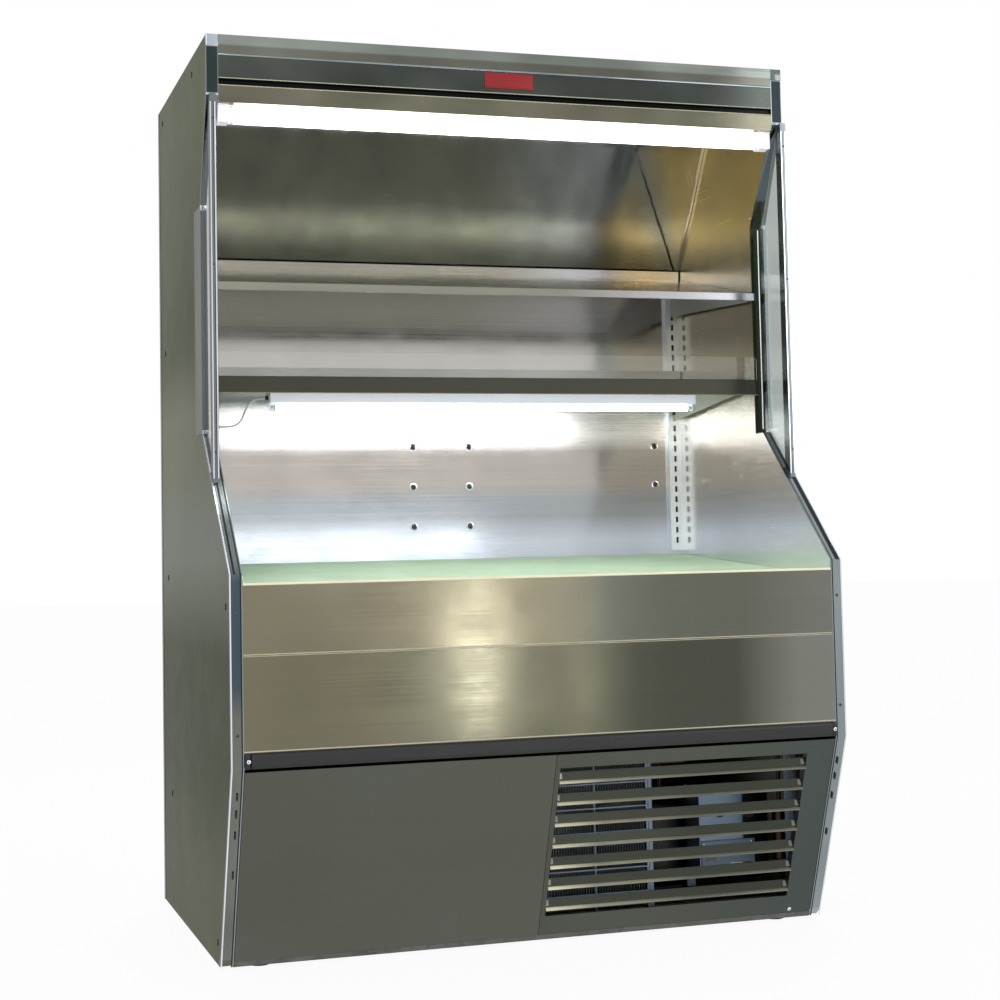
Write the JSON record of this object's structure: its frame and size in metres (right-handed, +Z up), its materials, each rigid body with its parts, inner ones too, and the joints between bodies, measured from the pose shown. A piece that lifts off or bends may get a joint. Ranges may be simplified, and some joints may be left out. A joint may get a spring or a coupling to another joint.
{
  "type": "open multideck display refrigerator",
  "caption": "Self-contained refrigerated display case with an open front, two shelves, a sloping deck, glass side wings, a lit canopy and a louvred kick panel.",
  "frame": {"origin": "centre of the base at floor level, under the middle of the overall box", "axes": "+Z up, +X to the viewer's right, the open front faces -Y"},
  "size_m": [1.295, 1.002, 1.88],
  "materials": {
    "case_steel": "brushed stainless sheet, grain running level",
    "liner_steel": "bright satin stainless sheet",
    "polished_edge": "mirror-polished stainless strip",
    "foam": "rigid insulating foam",
    "clear_glass": "clear toughened glass",
    "mirror": "silvered mirror",
    "lamp_white": "white lamp tube, lit",
    "honeycomb": "moulded air straightener",
    "galvanised": "galvanised sheet",
    "bumper_black": "black moulded bumper",
    "fins": "plain aluminium fins",
    "machine_black": "black paint, satin",
    "copper": "bare copper tube",
    "box_grey": "blue-grey paint, satin",
    "black_plastic": "black moulding",
    "white_plastic": "white moulding",
    "clear_plastic": "clear acrylic",
    "shelf_face": "dark glossy front strip",
    "lead_black": "black flexible cable",
    "screw_steel": "bright screw heads"
  },
  "bodies": {
    "cabinet": {"left_end_skin": "case_steel", "right_end_skin": "case_steel", "left_end_core": "foam", "right_end_core": "foam", "left_end_liner": "liner_steel", "right_end_liner": "liner_steel", "left_edge_trim": "polished_edge", "right_edge_trim": "polished_edge", "left_wing_glass": "clear_glass", "right_wing_glass": "clear_glass", "left_wing_trim": "polished_edge", "right_wing_trim": "polished_edge", "rear_panel": "galvanised", "cabinet_foam": "foam", "top_panel": "galvanised", "back_liner": "liner_steel", "mirror_panel": "mirror", "ceiling_liner": "liner_steel", "air_honeycomb": "honeycomb", "canopy_fascia": "case_steel", "canopy_lamp_channel": "liner_steel", "canopy_tube": "lamp_white", "left_pilaster": "liner_steel", "right_pilaster": "liner_steel", "top_shelf_brackets": "liner_steel", "lower_shelf": "liner_steel", "lower_shelf_brackets": "liner_steel", "shelf_front_face": "shelf_face", "product_stop": "clear_plastic", "shelf_lamp_housing": "white_plastic", "shelf_tube": "lamp_white", "shelf_lamp_lead": "lead_black", "lead_socket": "black_plastic", "well_tub": "foam", "front_band": "case_steel", "front_panel": "case_steel", "bumper_rail": "bumper_black", "bumper_caps": "bumper_black", "base_frame": "galvanised", "levelling_feet": "galvanised", "condenser_coil": "fins", "condenser_shroud": "galvanised", "condenser_motor": "machine_black", "compressor": "machine_black", "electrical_box": "box_grey", "refrigerant_lines": "copper", "condensate_pan": "black_plastic", "mains_inlet": "black_plastic", "evaporator_coil": "fins", "evaporator_motor": "machine_black", "panel_screws": "screw_steel"},
    "condenser_fan": {"condenser_fan": "black_plastic"},
    "evaporator_fan": {"evaporator_fan": "black_plastic"},
    "light_rocker": {"light_rocker": "black_plastic"},
    "thermostat_knob": {"thermostat_knob": "black_plastic"},
    "top_shelf": {"top_shelf": "liner_steel"},
    "deck_pan": {"deck_pan": "liner_steel"},
    "return_air_grille": {"return_air_grille": "liner_steel"},
    "kick_panel": {"kick_panel": "case_steel"},
    "louvre_grille": {"louvre_grille": "case_steel"}
  },
  "joints": [
    {"name": "condenser_fan_spin", "type": "hinge", "parent": "cabinet", "child": "condenser_fan", "pos_m": [0.141, -0.203, 0.215], "axis": [0, 1, 0], "continuous": true},
    {"name": "evaporator_fan_spin", "type": "hinge", "parent": "cabinet", "child": "evaporator_fan", "pos_m": [0, -0.183, 0.644], "axis": [0, 1, 0], "continuous": true},
    {"name": "light_rocker_tilt", "type": "hinge", "parent": "cabinet", "child": "light_rocker", "pos_m": [0.449, -0.261, 0.233], "axis": [-1, 0, 0], "range_deg": [0, 16]},
    {"name": "thermostat_knob_turn", "type": "hinge", "parent": "cabinet", "child": "thermostat_knob", "pos_m": [0.513, -0.272, 0.233], "axis": [0, -1, 0], "range_deg": [-300, 0]},
    {"name": "top_shelf_lift", "type": "slide", "parent": "cabinet", "child": "top_shelf", "axis": [0, -0.8, 0.6], "range_m": [0, 0.06]},
    {"name": "deck_pan_lift", "type": "hinge", "parent": "cabinet", "child": "deck_pan", "pos_m": [0, 0.3257, 0.788], "axis": [-1, 0, 0], "range_deg": [0, 25]},
    {"name": "return_air_grille_lift", "type": "slide", "parent": "cabinet", "child": "return_air_grille", "axis": [0, 0, 1], "range_m": [0, 0.04]},
    {"name": "kick_panel_pull", "type": "slide", "parent": "cabinet", "child": "kick_panel", "axis": [0, -1, 0], "range_m": [0, 0.06]},
    {"name": "louvre_grille_pull", "type": "slide", "parent": "cabinet", "child": "louvre_grille", "axis": [0, -1, 0], "range_m": [0, 0.06]}
  ]
}
